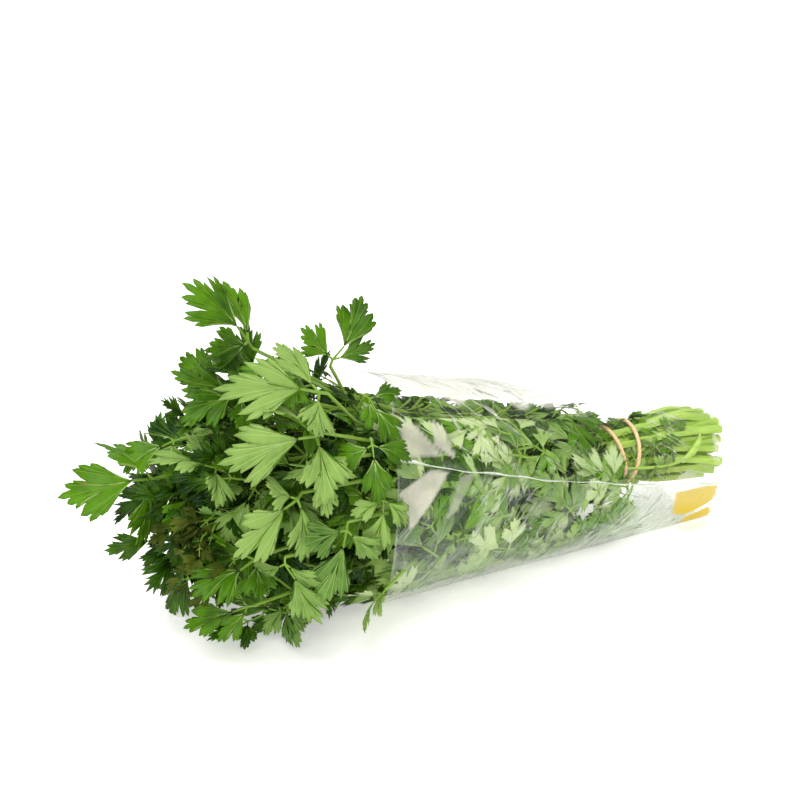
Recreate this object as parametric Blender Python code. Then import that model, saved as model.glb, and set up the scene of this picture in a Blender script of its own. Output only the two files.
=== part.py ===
"""A cut bunch of flat-leaf parsley, lying on its side in a clear film sleeve that is open at both ends.

Metres, +Z up. +X points along the bunch to the cut stem ends, and -Y is the side where most leaves show.
The origin is on the strip of film that the bunch lies on, half way along the sleeve.
"""

import itertools
import math
import random
from collections import namedtuple

import bmesh
import bpy
from mathutils import Vector
from mathutils.bvhtree import BVHTree

# Film sleeve: a cone with two welded side seams, flattened where it lies on the surface.
SLEEVE_LENGTH = 0.230
MOUTH_WIDTH, MOUTH_HEIGHT = 0.140, 0.121
END_WIDTH, END_HEIGHT = 0.068, 0.068
FLAT_DEPTH = 0.0015
FILM_THICKNESS = 0.0005
SEAM_ANGLE_MOUTH, SEAM_ANGLE_END = 0.63, -0.20
SEAM_REACH_MOUTH, SEAM_REACH_END = 0.021, 0.008
SLEEVE_SIDES, SLEEVE_RINGS = 30, 8

# Stems: pressed together at the tie, spread a little at the cut ends, fanned out towards the leaves.
STEM_CUT_RADIUS, STEM_LEAF_RADIUS = 0.0021, 0.0009
STEM_SPACING = 0.00285
STEM_SIDES = 5
SLEEVE_STEPS, HEAD_STEPS = 6, 3
HANDLE_SHARE = 0.36
SHORT_STEM_REACH = 0.05
CUT_X, CUT_Z = 0.119, 0.043
CUT_SPREAD = 1.22
CUT_UNEVENNESS = 0.004
TIE_X, TIE_Z = 0.050, 0.050
TIE_LENGTH = 0.034
GOLDEN_ANGLE = math.pi * (3 - math.sqrt(5))

# Rubber band: one closed strand that goes twice round the stems, the second turn slanted.
BAND_STRAND_RADIUS = 0.0009
BAND_TURN_GAP = 0.0011
BAND_SLANT = 0.009
BAND_SLANT_TOP = math.radians(60)
BAND_POINTS, BAND_SIDES = 64, 6

# Leaves: three leaflets on a short stalk. Lengths are in leaf units, and the unit is set for each leaf.
LEAF_THICKNESS = 0.0006
LEAF_REACH = 1.28
STALK_LENGTH = 0.10
STALK_HALF_WIDTH = 0.022
NODE_LENGTH = 0.05
MIDDLE_STALK = 0.22
MIDDLE_LEAFLET = 0.91
SIDE_LEAFLET = 0.66
SIDE_ANGLE = math.radians(66)
LEAFLET_HALF_OUTLINE = ((0.45, 0.31), (0.55, 0.17), (0.74, 0.25), (0.75, 0.11))
LEAFLET_MIDRIB = (0.40, 0.70)
LEAF_DROOP = 0.5
LEAF_CUP = 0.25

# Placing: each sprig is tried again, ever more loosely, until it touches nothing.
CLEARANCE = 0.0003
STEM_TO_LEAF_GAP = 0.0013
LEAF_JOINT_MARGIN = 0.0001
GATE_SHARE, GATE_LIMIT = 0.75, 0.88
PLACING_SEED = 2
PLACING_TRIES = 4000
SLOT_CHOICES = 5
SWAP_GAIN = 1e-9
LOOSENESS_START, LOOSENESS_FULL = 0.0008, 0.011
TILT_PER_METRE = 50.0
SWING_SHARE = 0.5
STEM_WANDER = 3.0
SMALLEST_LEAF = 0.65

STEM_GREEN = (0.46, 0.62, 0.15)
LEAF_GREEN = (0.10, 0.26, 0.03)
FILM_WHITE = (0.85, 0.88, 0.82)
BAND_TAN = (0.72, 0.48, 0.24)

# A sprig is a stem with its leaf: where the leaf starts, where its tip comes, and the way its face looks.
Sprig = namedtuple("Sprig", "base tip face on_floor", defaults=(False,))
SPRIGS_MM = (
    # In the sleeve, pressed along the film.
    Sprig((-10, -46, 60), (-42, -53, 64), (0, -3, 1)),
    Sprig((-26, -40, 28), (-58, -50, 27), (0, -3, -1)),
    Sprig((-30, 50, 54), (-62, 57, 56), (0, 3, 1)),
    # Near side of the head, from the top down.
    Sprig((-192, -5, 152), (-221, -15, 195), (-1, -2, 1)),
    Sprig((-150, -15, 138), (-157, -20, 174), (-1, -2, 1)),
    Sprig((-173, -25, 140), (-213, -40, 162), (-1, -1, 3)),
    Sprig((-169, -46, 134), (-222, -60, 152), (-1, -2, 2)),
    Sprig((-203, -22, 134), (-243, -35, 146), (-1, -1, 2)),
    Sprig((-152, -62, 114), (-158, -88, 88), (-1, -3, 2)),
    Sprig((-146, -44, 128), (-124, -66, 112), (0, -2, 2)),
    Sprig((-221, -30, 99), (-259, -38, 123), (-1, -1, 2)),
    Sprig((-181, -58, 119), (-231, -82, 122), (-1, -3, 1)),
    Sprig((-184, -66, 108), (-192, -86, 82), (-1, -3, 1)),
    Sprig((-192, -62, 92), (-226, -86, 72), (-1, -3, 0)),
    Sprig((-148, -68, 84), (-154, -84, 54), (0, -2, 0)),
    Sprig((-170, -70, 73), (-186, -88, 38), (-1, -4, -1)),
    Sprig((-208, -48, 55), (-254, -58, 48), (-1, -2, 3)),
    Sprig((-206, -62, 58), (-210, -72, 18), (-1, -2, 0)),
    Sprig((-212, -45, 24), (-243, -26, 2), (-1, -1, 4), True),
    Sprig((-150, -72, 38), (-182, -82, 12), (0, -1, 3), True),
    # Towards the far left, past the middle of the head.
    Sprig((-238, 8, 86), (-293, 0, 84), (-1, -2, 1)),
    Sprig((-226, 14, 100), (-262, 22, 112), (0, -1, 3)),
    Sprig((-222, -12, 60), (-256, -6, 40), (-2, -1, 1)),
    Sprig((-214, 14, 40), (-250, 22, 10), (-2, 0, 1), True),
    # Far side of the head.
    Sprig((-160, 36, 124), (-200, 56, 140), (0, 1, 3)),
    Sprig((-172, 56, 92), (-216, 80, 92), (0, 3, 1)),
    Sprig((-164, 56, 50), (-202, 74, 22), (0, 3, 1)),
    Sprig((-200, 38, 74), (-246, 54, 68), (-1, 2, 2)),
)


def remove_everything():
    for obj in list(bpy.data.objects):
        bpy.data.objects.remove(obj, do_unlink=True)


def plain_material(name, colour, roughness, alpha=1.0):
    material = bpy.data.materials.new(name)
    material.use_nodes = True
    shader = material.node_tree.nodes["Principled BSDF"]
    shader.inputs["Base Color"].default_value = (*colour, 1.0)
    shader.inputs["Roughness"].default_value = roughness
    shader.inputs["Metallic"].default_value = 0.0
    shader.inputs["Alpha"].default_value = alpha
    return material


def add_object(name, mesh, material):
    obj = bpy.data.objects.new(name, mesh)
    mesh.materials.append(material)
    mesh.shade_smooth()
    mesh.set_sharp_from_angle(angle=math.radians(40))
    bpy.context.scene.collection.objects.link(obj)
    return obj


def finished_mesh(name, builder):
    """The bmesh as a mesh whose faces look outwards."""
    bmesh.ops.recalc_face_normals(builder, faces=builder.faces)
    mesh = bpy.data.meshes.new(name)
    builder.to_mesh(mesh)
    builder.free()
    return mesh


def mix(a, b, t):
    return a + (b - a) * t


# --- Sleeve -------------------------------------------------------------------------------------


def sleeve_point(t, angle):
    """A point of the film's outer face: t runs from mouth to stem end, angle goes up from the near side."""
    half_width = mix(MOUTH_WIDTH, END_WIDTH, t) / 2
    height = mix(MOUTH_HEIGHT, END_HEIGHT, t)
    centre_z = height / 2 - FLAT_DEPTH
    radius_z = height / 2 + FLAT_DEPTH
    seam = mix(SEAM_ANGLE_MOUTH, SEAM_ANGLE_END, t)
    reach = mix(SEAM_REACH_MOUTH, SEAM_REACH_END, t)
    x = mix(-SLEEVE_LENGTH / 2, SLEEVE_LENGTH / 2, t) - reach * math.cos(angle - seam) ** 2
    return Vector((x, -half_width * math.cos(angle), max(0.0, centre_z + radius_z * math.sin(angle))))


def sleeve_mesh():
    builder = bmesh.new()
    rings = []
    for ring in range(SLEEVE_RINGS + 1):
        t = ring / SLEEVE_RINGS
        angles = [math.tau * (side + 0.5) / SLEEVE_SIDES - math.pi / 2 for side in range(SLEEVE_SIDES)]
        rings.append([builder.verts.new(sleeve_point(t, angle)) for angle in angles])
    for near, far in zip(rings, rings[1:]):
        for side in range(SLEEVE_SIDES):
            after = (side + 1) % SLEEVE_SIDES
            builder.faces.new((near[side], near[after], far[after], far[side]))
    bmesh.ops.recalc_face_normals(builder, faces=builder.faces)
    bmesh.ops.solidify(builder, geom=builder.faces[:], thickness=FILM_THICKNESS)
    return finished_mesh("sleeve", builder)


# --- Tubes --------------------------------------------------------------------------------------


def ring_frame(tangent, reference):
    across = tangent.cross(reference).normalized()
    return across, across.cross(tangent).normalized()


def add_ring(builder, centre, tangent, reference, radius, sides):
    across, over = ring_frame(tangent, reference)
    angles = [math.tau * side / sides for side in range(sides)]
    return [
        builder.verts.new(centre + (across * math.cos(a) + over * math.sin(a)) * radius) for a in angles
    ]


def join_rings(builder, near, far):
    for side, vertex in enumerate(near):
        after = (side + 1) % len(near)
        builder.faces.new((vertex, near[after], far[after], far[side]))


def open_tube(points, radii, sides):
    """A tube with flat ends along points. Its rings are turned by the Y axis, which no stem runs along."""
    builder = bmesh.new()
    reference = Vector((0, 1, 0))
    rings = []
    for index, (point, radius) in enumerate(zip(points, radii)):
        before = points[max(index - 1, 0)]
        after = points[min(index + 1, len(points) - 1)]
        rings.append(add_ring(builder, point, (after - before).normalized(), reference, radius, sides))
    for near, far in zip(rings, rings[1:]):
        join_rings(builder, near, far)
    builder.faces.new(rings[0])
    builder.faces.new(rings[-1])
    return builder


# --- Stems --------------------------------------------------------------------------------------


def slot_radius(index):
    return STEM_SPACING * math.sqrt(index)


def stem_slots(count):
    """Where each stem crosses the tie, from the middle of the bundle: a sunflower's spiral in Y and Z."""
    slots = []
    for index in range(count):
        out = slot_radius(index + 0.5)
        turn = index * GOLDEN_ANGLE
        slots.append(Vector((0, out * math.cos(turn), out * math.sin(turn))))
    return slots


def bezier(start, handle_a, handle_b, end, t):
    near = start.lerp(handle_a, t)
    middle = handle_a.lerp(handle_b, t)
    far = handle_b.lerp(end, t)
    return near.lerp(middle, t).lerp(middle.lerp(far, t), t)


def in_sleeve(base):
    return base.x > -SLEEVE_LENGTH / 2


def mouth_gate(base):
    """Where a stem on its way to base leaves the sleeve: level with the film's edge, and clear of it."""
    across, over = base.y, base.z - MOUTH_HEIGHT / 2
    edge_x = sleeve_point(0, math.atan2(over, -across)).x
    out = math.hypot(across / (MOUTH_WIDTH / 2), over / (MOUTH_HEIGHT / 2))
    pull = min(GATE_SHARE, GATE_LIMIT / out)
    return Vector((edge_x, across * pull, MOUTH_HEIGHT / 2 + over * pull))


def smooth_run(start, start_way, end, end_way, steps):
    """Points after start up to end on one curve that leaves and arrives along the two ways."""
    reach = (end - start).length * HANDLE_SHARE
    handles = start + start_way * reach, end - end_way * reach
    return [bezier(start, *handles, end, step / steps) for step in range(1, steps + 1)]


def stem_path(slot, cut_offset, base, wander):
    """Straight from the cut end through the tie, along the sleeve to its mouth, then out to the leaf."""
    tie = Vector((TIE_X, 0, TIE_Z)) + slot
    cut = Vector((CUT_X + cut_offset, 0, CUT_Z)) + slot * CUT_SPREAD
    half_tie = Vector((TIE_LENGTH / 2, 0, 0))
    points = [cut, tie + half_tie, tie - half_tie]
    if not in_sleeve(base):
        gate = mouth_gate(base) + wander
        last_way = (base - gate).normalized()
        gate_way = ((gate - points[-1]).normalized() + last_way).normalized()
        points += smooth_run(points[-1], Vector((-1, 0, 0)), gate, gate_way, SLEEVE_STEPS)
        points += smooth_run(gate, gate_way, base - last_way * STEM_TO_LEAF_GAP, last_way, HEAD_STEPS)
        return points
    first_way = (Vector((-SHORT_STEM_REACH, 0, 0)) + wander).normalized()
    last_way = (base - points[-1]).normalized()
    end = base - last_way * STEM_TO_LEAF_GAP
    return points + smooth_run(points[-1], first_way, end, last_way, SLEEVE_STEPS)


def stem_builder(path, margin=0.0):
    last = len(path) - 1
    radii = [mix(STEM_CUT_RADIUS, STEM_LEAF_RADIUS, i / last) + margin for i in range(last + 1)]
    return open_tube(path, radii, STEM_SIDES)


# --- Rubber band --------------------------------------------------------------------------------


def band_mesh(bundle_radius):
    """A strand that closes on itself after two turns, so that its turns cross once, one over the other."""
    builder = bmesh.new()
    middle_radius = bundle_radius + CLEARANCE + BAND_STRAND_RADIUS + BAND_TURN_GAP
    axis = Vector((TIE_X, 0, TIE_Z))
    points = []
    outs = []
    for step in range(BAND_POINTS):
        turn = 2 * math.tau * step / BAND_POINTS
        half_turn = (turn - BAND_SLANT_TOP) / 2
        out = Vector((0, math.cos(turn), math.sin(turn)))
        radius = middle_radius + BAND_TURN_GAP * math.sin(half_turn)
        points.append(axis + out * radius + Vector((BAND_SLANT * math.cos(half_turn), 0, 0)))
        outs.append(out)
    rings = []
    for step, (point, out) in enumerate(zip(points, outs)):
        tangent = (points[(step + 1) % BAND_POINTS] - points[step - 1]).normalized()
        rings.append(add_ring(builder, point, tangent, out, BAND_STRAND_RADIUS, BAND_SIDES))
    for near, far in zip(rings, rings[1:] + rings[:1]):
        join_rings(builder, near, far)
    return finished_mesh("rubber_band", builder)


# --- Leaves -------------------------------------------------------------------------------------


class LeafSheet:
    """One compound leaf as flat faces in leaf units, (along, across), before it is bent and thickened."""

    def __init__(self):
        self.points = []
        self.faces = []

    def point(self, along, across):
        self.points.append((along, across))
        return len(self.points) - 1

    def leaflet(self, left, right, angle, length):
        """Adds a leaflet on the edge left-right, which has the leaflet's way out at this angle."""
        root = Vector(self.points[left]).lerp(Vector(self.points[right]), 0.5)
        along = Vector((math.cos(angle), math.sin(angle)))
        across = Vector((-along.y, along.x))
        midrib = [self.point(*(root + along * length * u)) for u in LEAFLET_MIDRIB]
        tip = self.point(*(root + along * length))
        self.faces.append((left, right, midrib[0]))
        for side, foot in ((1, left), (-1, right)):
            rim = [
                self.point(*(root + along * length * u + across * length * v * side))
                for u, v in LEAFLET_HALF_OUTLINE
            ]
            self.faces.append((foot, midrib[0], rim[0]))
            self.faces.append((midrib[0], rim[1], rim[0]))
            self.faces.append((midrib[0], midrib[1], rim[1]))
            self.faces.append((midrib[1], rim[2], rim[1]))
            self.faces.append((midrib[1], rim[3], rim[2]))
            self.faces.append((midrib[1], tip, rim[3]))


def flat_leaf():
    sheet = LeafSheet()
    half = STALK_HALF_WIDTH
    start_left = sheet.point(0, half)
    start_right = sheet.point(0, -half)
    near, far = STALK_LENGTH, STALK_LENGTH + NODE_LENGTH
    node = [sheet.point(*corner) for corner in ((near, half), (near, -half), (far, -half), (far, half))]
    sheet.faces.append((start_left, start_right, node[1], node[0]))
    sheet.faces.append(tuple(node))
    sheet.leaflet(node[0], node[3], SIDE_ANGLE, SIDE_LEAFLET)
    sheet.leaflet(node[2], node[1], -SIDE_ANGLE, SIDE_LEAFLET)
    stalk_left = sheet.point(far + MIDDLE_STALK, half)
    stalk_right = sheet.point(far + MIDDLE_STALK, -half)
    sheet.faces.append((node[3], node[2], stalk_right, stalk_left))
    sheet.leaflet(stalk_left, stalk_right, 0.0, MIDDLE_LEAFLET)
    return sheet


def leaf_builder(sheet, base, along, face, unit, margin=0.0):
    """The leaf at its place: it droops away from its face as it runs out, and its sides hang a little."""
    across = face.cross(along).normalized()
    up = along.cross(across).normalized()
    curl = LEAF_DROOP / (LEAF_REACH * unit)
    builder = bmesh.new()
    vertices = []
    for u, v in sheet.points:
        run = u * unit
        side = v * unit
        reach = math.sin(curl * run) / curl
        sink = (1 - math.cos(curl * run)) / curl + LEAF_CUP * side * side / unit
        vertices.append(builder.verts.new(base + along * reach + across * side - up * sink))
    for face_points in sheet.faces:
        builder.faces.new([vertices[i] for i in face_points])
    bmesh.ops.recalc_face_normals(builder, faces=builder.faces)
    bmesh.ops.solidify(builder, geom=builder.faces[:], thickness=LEAF_THICKNESS + 2 * margin)
    return builder


# --- Placing ------------------------------------------------------------------------------------


def lowest(builder):
    return min(vertex.co.z for vertex in builder.verts)


def tree_of(builder):
    tree = BVHTree.FromBMesh(builder)
    builder.free()
    return tree


def mesh_tree(mesh):
    builder = bmesh.new()
    builder.from_mesh(mesh)
    return tree_of(builder)


def ideal_slot(base):
    """Where a stem would best cross the tie: on the side, and as far out, as it later runs."""
    place = base if in_sleeve(base) else mouth_gate(base)
    t = min(1.0, max(0.0, place.x / SLEEVE_LENGTH + 0.5))
    across = place.y / (mix(MOUTH_WIDTH, END_WIDTH, t) / 2)
    over = place.z / (mix(MOUTH_HEIGHT, END_HEIGHT, t) / 2) - 1
    return Vector((0, across, over)) * slot_radius(len(SPRIGS_MM))


def dealt_slots(sprigs):
    """One slot for each sprig, swapped between them until no swap brings two stems nearer to their ideals."""
    ideals = [ideal_slot(sprig.base) for sprig in sprigs]
    slots = stem_slots(len(sprigs))
    improved = True
    while improved:
        improved = False
        for a, b in itertools.combinations(range(len(slots)), 2):
            kept = (slots[a] - ideals[a]).length_squared + (slots[b] - ideals[b]).length_squared
            swapped = (slots[b] - ideals[a]).length_squared + (slots[a] - ideals[b]).length_squared
            if swapped < kept - SWAP_GAIN:
                slots[a], slots[b] = slots[b], slots[a]
                improved = True
    return slots


def metres(sprig):
    base, tip = (Vector(place) / 1000 for place in (sprig.base, sprig.tip))
    return Sprig(base, tip, Vector(sprig.face).normalized(), sprig.on_floor)


def random_vector(rng, size):
    return Vector([rng.gauss(0, size) for _ in range(3)])


def candidate(sprig, slot, looseness, cut_offset, sheet, rng):
    """The path of the stem and the placing of the leaf for one try, or None if the leaf dips underground."""
    tilt = looseness * TILT_PER_METRE
    shrink = mix(1.0, SMALLEST_LEAF, looseness / LOOSENESS_FULL)
    unit = shrink * (sprig.tip - sprig.base).length / LEAF_REACH
    aim = (sprig.tip - sprig.base).normalized()
    along = (aim + random_vector(rng, tilt * SWING_SHARE)).normalized()
    face = (sprig.face + random_vector(rng, tilt)).normalized()
    base = sprig.base + random_vector(rng, looseness)
    probe = leaf_builder(sheet, base, along, face, unit)
    low = lowest(probe)
    probe.free()
    if sprig.on_floor:
        base = base - Vector((0, 0, low))
    elif low < 0:
        return None
    path = stem_path(slot, cut_offset, base, random_vector(rng, STEM_WANDER * looseness))
    return path, (base, along, face, unit)


def clear_of(trees, path, placing, sheet):
    """The stem's and the leaf's trees if both keep their distance from everything placed, else None."""
    grown = [
        tree_of(stem_builder(path, CLEARANCE)),
        tree_of(leaf_builder(sheet, *placing, margin=CLEARANCE)),
    ]
    if any(new.overlap(old) for new in grown for old in trees):
        return None
    own_leaf = tree_of(leaf_builder(sheet, *placing, margin=LEAF_JOINT_MARGIN))
    if tree_of(stem_builder(path)).overlap(own_leaf):
        return None
    return grown


def placing_order(sprig):
    """The farthest sprigs first, so that the shorter ones then lie round the longer ones' stems."""
    return sprig.base.x


def place_sprigs(obstacles, sheet):
    """Gives each sprig a slot in the bundle and a course that touches nothing placed before it."""
    rng = random.Random(PLACING_SEED)
    sprigs = sorted(map(metres, SPRIGS_MM), key=placing_order)
    slots = dealt_slots(sprigs)
    trees = list(obstacles)
    placed = []
    for index, sprig in enumerate(sprigs):
        mine = slots[index]
        free = sorted(range(index, len(sprigs)), key=lambda other: (slots[other] - mine).length)
        cut_offset = rng.uniform(-CUT_UNEVENNESS, 0)
        for attempt in range(PLACING_TRIES):
            chosen = free[attempt % min(SLOT_CHOICES, len(free))]
            looseness = mix(LOOSENESS_START, LOOSENESS_FULL, attempt / PLACING_TRIES)
            found = candidate(sprig, slots[chosen], looseness, cut_offset, sheet, rng)
            new_trees = found and clear_of(trees, *found, sheet)
            if new_trees:
                break
        else:
            raise RuntimeError(f"sprig {index + 1} finds no clear place")
        slots[index], slots[chosen] = slots[chosen], slots[index]
        trees += new_trees
        placed.append(found)
    return placed


def main():
    remove_everything()
    film = plain_material("clear_film", FILM_WHITE, 0.15, alpha=0.35)
    rubber = plain_material("rubber", BAND_TAN, 0.6)
    stem_skin = plain_material("stem_skin", STEM_GREEN, 0.45)
    leaf_skin = plain_material("leaf_skin", LEAF_GREEN, 0.5)

    sleeve = add_object("sleeve", sleeve_mesh(), film)
    band = add_object("rubber_band", band_mesh(slot_radius(len(SPRIGS_MM)) + STEM_CUT_RADIUS), rubber)

    sheet = flat_leaf()
    placed = place_sprigs([mesh_tree(sleeve.data), mesh_tree(band.data)], sheet)
    for number, (path, placing) in enumerate(placed, start=1):
        add_object(f"stem_{number:02d}", finished_mesh("stem", stem_builder(path)), stem_skin)
        add_object(f"leaf_{number:02d}", finished_mesh("leaf", leaf_builder(sheet, *placing)), leaf_skin)


main()
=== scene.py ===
"""The looks of a cut bunch of flat-leaf parsley in a clear film sleeve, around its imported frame.

Metres, +Z up. +X points along the bunch to the cut stem ends, and -Y is the side where most leaves show.
"""

import math

import bpy
import numpy as np
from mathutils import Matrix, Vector
from numpy.linalg import norm


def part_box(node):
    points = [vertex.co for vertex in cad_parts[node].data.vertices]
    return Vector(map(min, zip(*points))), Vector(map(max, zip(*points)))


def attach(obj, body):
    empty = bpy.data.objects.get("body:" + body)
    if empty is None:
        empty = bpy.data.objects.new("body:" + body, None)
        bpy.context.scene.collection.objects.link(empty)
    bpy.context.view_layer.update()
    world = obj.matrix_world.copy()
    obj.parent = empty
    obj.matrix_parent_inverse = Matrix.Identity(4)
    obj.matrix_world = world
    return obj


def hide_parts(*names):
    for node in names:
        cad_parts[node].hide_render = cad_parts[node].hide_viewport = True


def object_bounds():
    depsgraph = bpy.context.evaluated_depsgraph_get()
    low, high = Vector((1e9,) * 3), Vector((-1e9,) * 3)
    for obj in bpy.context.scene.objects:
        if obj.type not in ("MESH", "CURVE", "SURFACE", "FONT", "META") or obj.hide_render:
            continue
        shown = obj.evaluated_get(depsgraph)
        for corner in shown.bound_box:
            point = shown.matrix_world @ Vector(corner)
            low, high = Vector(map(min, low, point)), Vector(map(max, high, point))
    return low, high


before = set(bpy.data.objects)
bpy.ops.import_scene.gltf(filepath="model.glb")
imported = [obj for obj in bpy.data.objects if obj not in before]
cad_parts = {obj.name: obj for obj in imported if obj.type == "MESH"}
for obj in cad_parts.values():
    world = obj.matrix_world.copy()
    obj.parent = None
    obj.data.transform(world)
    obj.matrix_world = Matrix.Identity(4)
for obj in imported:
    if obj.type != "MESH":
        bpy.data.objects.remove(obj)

CAD_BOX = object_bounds()

SPRIGS = range(1, 29)

# The least height of a leaf, and the height below which leaves bend up to keep it.
FLOOR_GAP = 0.0004
FLOOR_BEND = 0.004

# Sleeve, as in the CAD model but with its seams a little higher at the stem end: a cone with two welded side
# seams, lying on a flat strip. t runs along it from the mouth's slanted rim, 0, to the stem end's, 1. place
# does the same for straight rims. Angles go up from the near side.
SLEEVE_LENGTH = 0.230
MOUTH_X = -SLEEVE_LENGTH / 2
MOUTH_WIDTH, MOUTH_HEIGHT = 0.140, 0.121
END_WIDTH, END_HEIGHT = 0.068, 0.068
FLAT_DEPTH = 0.0015
SEAM_ANGLE_MOUTH, SEAM_ANGLE_END = 0.63, -0.05
MOUTH_REACH, END_REACH = 0.027, 0.008
MOUTH_TURN = -0.20

# The gaps of leaves and stems from the film, how far leaves sag under its top, and how far the top stands up.
FILM_GAPS = (0.0020, 0.0045)
STEM_GAP = 0.0034
SLUMP = 0.014
TOP_RISE = 0.006

# Sprigs whose end leaf shows its pale underside on its outer face.
UNDERSIDE_OUT = (4, 8, 12, 13, 14, 17, 18, 23, 24, 28)

# How bright a sprig's end leaf is, where it stands out. 0 is dark and 1 is bright.
TINTS = {
    1: 0.55, 4: 0.55, 5: 0.10, 6: 0.40, 7: 0.05, 8: 0.45, 9: 0.20, 11: 0.35, 12: 0.80, 13: 0.70, 14: 0.75,
    15: 0.80, 17: 0.15, 18: 0.60, 21: 0.12, 22: 0.30, 23: 0.80, 24: 0.75, 25: 0.35,
}
TINT = 0.3

# An end leaf's size beside its CAD solid, its roll about its line, and how far its side leaflets stand out.
LEAF_SCALES = {
    1: 1.05, 5: 0.95, 7: 1.15, 11: 1.10, 12: 1.15, 13: 0.95, 14: 1.20, 16: 0.85, 17: 1.15, 18: 1.10, 22: 1.22,
    23: 0.65,
}
LEAF_ROLLS = {6: -0.7, 8: 0.5, 11: 0.9, 23: 0.9}
SIDE_ANGLES = {6: 0.50, 11: 0.70, 15: 0.85}

# Which way an end leaf points, where it points another way than its CAD solid.
LEAF_AIMS = {
    2: (-0.95, 0.15, -0.12),
    6: (-0.97, 0.22, 0.0),
    22: (0.25, -0.25, 0.93),
    23: (-0.78, 0.07, -0.63),
}

# The bare length of stalk below an end leaf, where it is longer than most, and where stems are bare again.
BARE_STALKS = {1: 0.030, 11: 0.055, 22: 0.040, 23: 0.060}
BARE_STALK = 0.026
BARE_FROM_X = 0.035

# Trifoliate leaf, in leaf units, as in the CAD model.
STALK_LENGTH = 0.12
MIDDLE_START = 0.37
MIDDLE_LEAFLET = 0.91
SIDE_LEAFLET = 0.70
SIDE_ANGLE = math.radians(62)
LEAF_REACH = 1.28
LEAF_DROOP = 0.5
LEAF_CUP = 0.25

# Every other leaf: ranges for its droop and its stalk's length, and the largest size of one on a stem.
DROOPS = (0, 0.9)
SIDE_STALKS = (0.008, 0.020)
LARGEST_SIDE_LEAF = 0.042
LEAF_THICKNESS = 0.0003

# Stems: the step along one, its radius at its tip and what it gains to its foot, its sides and its ribs.
STEM_STEP = 0.006
STEM_TIP_RADIUS, STEM_TAPER = 0.0009, 0.0018
STEM_SIDES, STEM_RIDGE = 10, 0.08
STALK_SIDES, SIDE_STALK_RADIUS = 5, 0.0007

# The head of leaves outside the mouth, as an ellipsoid.
HEAD_CENTRE = np.array([-0.180, 0.0, 0.074])
HEAD_RADII = np.array([0.064, 0.066, 0.058])

# The stems' bundle at its cut end.
TIE_X = 0.050
BUNDLE_HEIGHT = 0.043
BUNDLE_RADIUS = 0.021
FAN_OUT = 0.30
EXTRA_STEMS = 16
CURVING_STALK = (
    (0.046, -0.018, 0.046), (0.062, -0.0235, 0.0455), (0.080, -0.0245, 0.0455),
    (0.092, -0.0240, 0.0500), (0.0985, -0.0230, 0.0575), (0.1010, -0.0225, 0.0640),
)

# Leaves at the tie: how many, over which X, and their sizes.
TIE_LEAVES = ((34, (0.005, 0.092), (0.010, 0.019)), (24, (0.046, 0.086), (0.015, 0.023)))

# A leaflet's outline, as lobes of tooth tips and notches. Each lobe's veins fan out past its fan point.
MIDDLE_FAN = (0.42, 0.0)
MIDDLE_TEETH = ((0.77, 0.190), (0.91, 0.150), (1.0, 0.0))
SINUS = (0.52, 0.080)
SIDE_FAN = (0.22, 0.105)
SIDE_TEETH = ((0.35, 0.270), (0.50, 0.375), (0.66, 0.405), (0.75, 0.310))
TOOTH_JITTER = 0.016
NOTCH_DEPTH = 0.20
ROUNDNESS, MOST_ROUND = 0.20, 0.022

# How a leaflet bends at a curl of 1, in leaflet units and radians: ranges to draw from.
RUFFLES = (0.012, 0.045)
FOLDS = (-0.25, 0.55)
SAGS = (0, 0.35)
BENDS = (-0.2, 0.75)
LEAST_BEND = 0.02
TWIST = 0.28
PILLOW, PILLOW_WIDTH = 0.009, 0.06

# Where a leaflet's rings of points lie from its foot to its rim, for each level of detail.
RINGS = {
    "hero": (0.16, 0.34, 0.52, 0.70, 0.86, 1.0),
    "outer": (0.36, 0.70, 1.0),
    "inner": (0.42, 0.76, 1.0),
    "deep": (0.60, 1.0),
}
ROUND_TOOTHED = ("hero", "outer")

# The film's mesh, its creases and the teeth of its cut end. The radius turns an angle round it into a length.
FILM_ROWS, FILM_COLUMNS = 112, 270
GIRTH_RADIUS = 0.055
FILM_FLOOR_GAP = 0.0002
CREASES = 190
CUT_TOOTH_COLUMNS, CUT_TOOTH = 10, 0.0018

# Painted glare: where flat facets of the film throw back the light, they are painted milky white: how milky
# each is, then its (place, angle) corners.
PAINTED_GLARES = (
    (0.90, ((0.057, 0.51), (0.009, 0.54), (-0.095, 0.37), (-0.075, 0.03), (-0.034, 0.16))),
    (0.85, ((-0.030, 0.98), (0.012, 0.93), (0.050, 0.66), (-0.060, 0.66))),
    (0.80, ((0.062, 0.98), (0.085, 0.92), (0.088, 0.62), (0.040, 0.74))),
    (0.50, ((0.140, 0.50), (0.085, 0.46), (0.020, 0.06), (0.060, 0.14))),
    (0.45, ((-0.09, -0.15), (-0.07, -0.30), (-0.05, -1.2), (-0.09, -1.2))),
    (0.60, ((0.96, 0.80), (1.0, 0.75), (1.0, 0.30), (0.95, 0.42))),
    (0.50, ((0.78, 0.08), (0.84, 0.25), (0.88, 0.20), (0.86, 0.0))),
    (0.40, ((0.60, 3.6), (0.72, 3.3), (0.78, 2.9), (0.62, 3.0))),
    (0.35, ((0.03, 2.5), (0.10, 2.2), (0.13, 2.6), (0.06, 3.0))),
)
GLARE_EDGE = 0.0009

# The seams' fins and the rubber band's strand.
FIN_WIDTH, FIN_THICKNESS, FIN_ROWS = 0.0021, 0.00025, 120
STRAND_RADIUS, STRAND_SIDES, STRAND_STEPS = 0.0012, 10, 260
BAND_SLANT, BAND_INSET = 0.009, 0.0018

# The camera, and how wide each lamp looks.
VIEW_TARGET = (-0.099, 0.0, 0.1076)
VIEW_AZIMUTH, VIEW_ELEVATION = math.radians(-30), math.radians(18)
VIEW_DISTANCE = 0.95
VIEW_ANGLE = math.radians(26.342)
SUN_SPREAD = math.radians(45)


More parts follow.
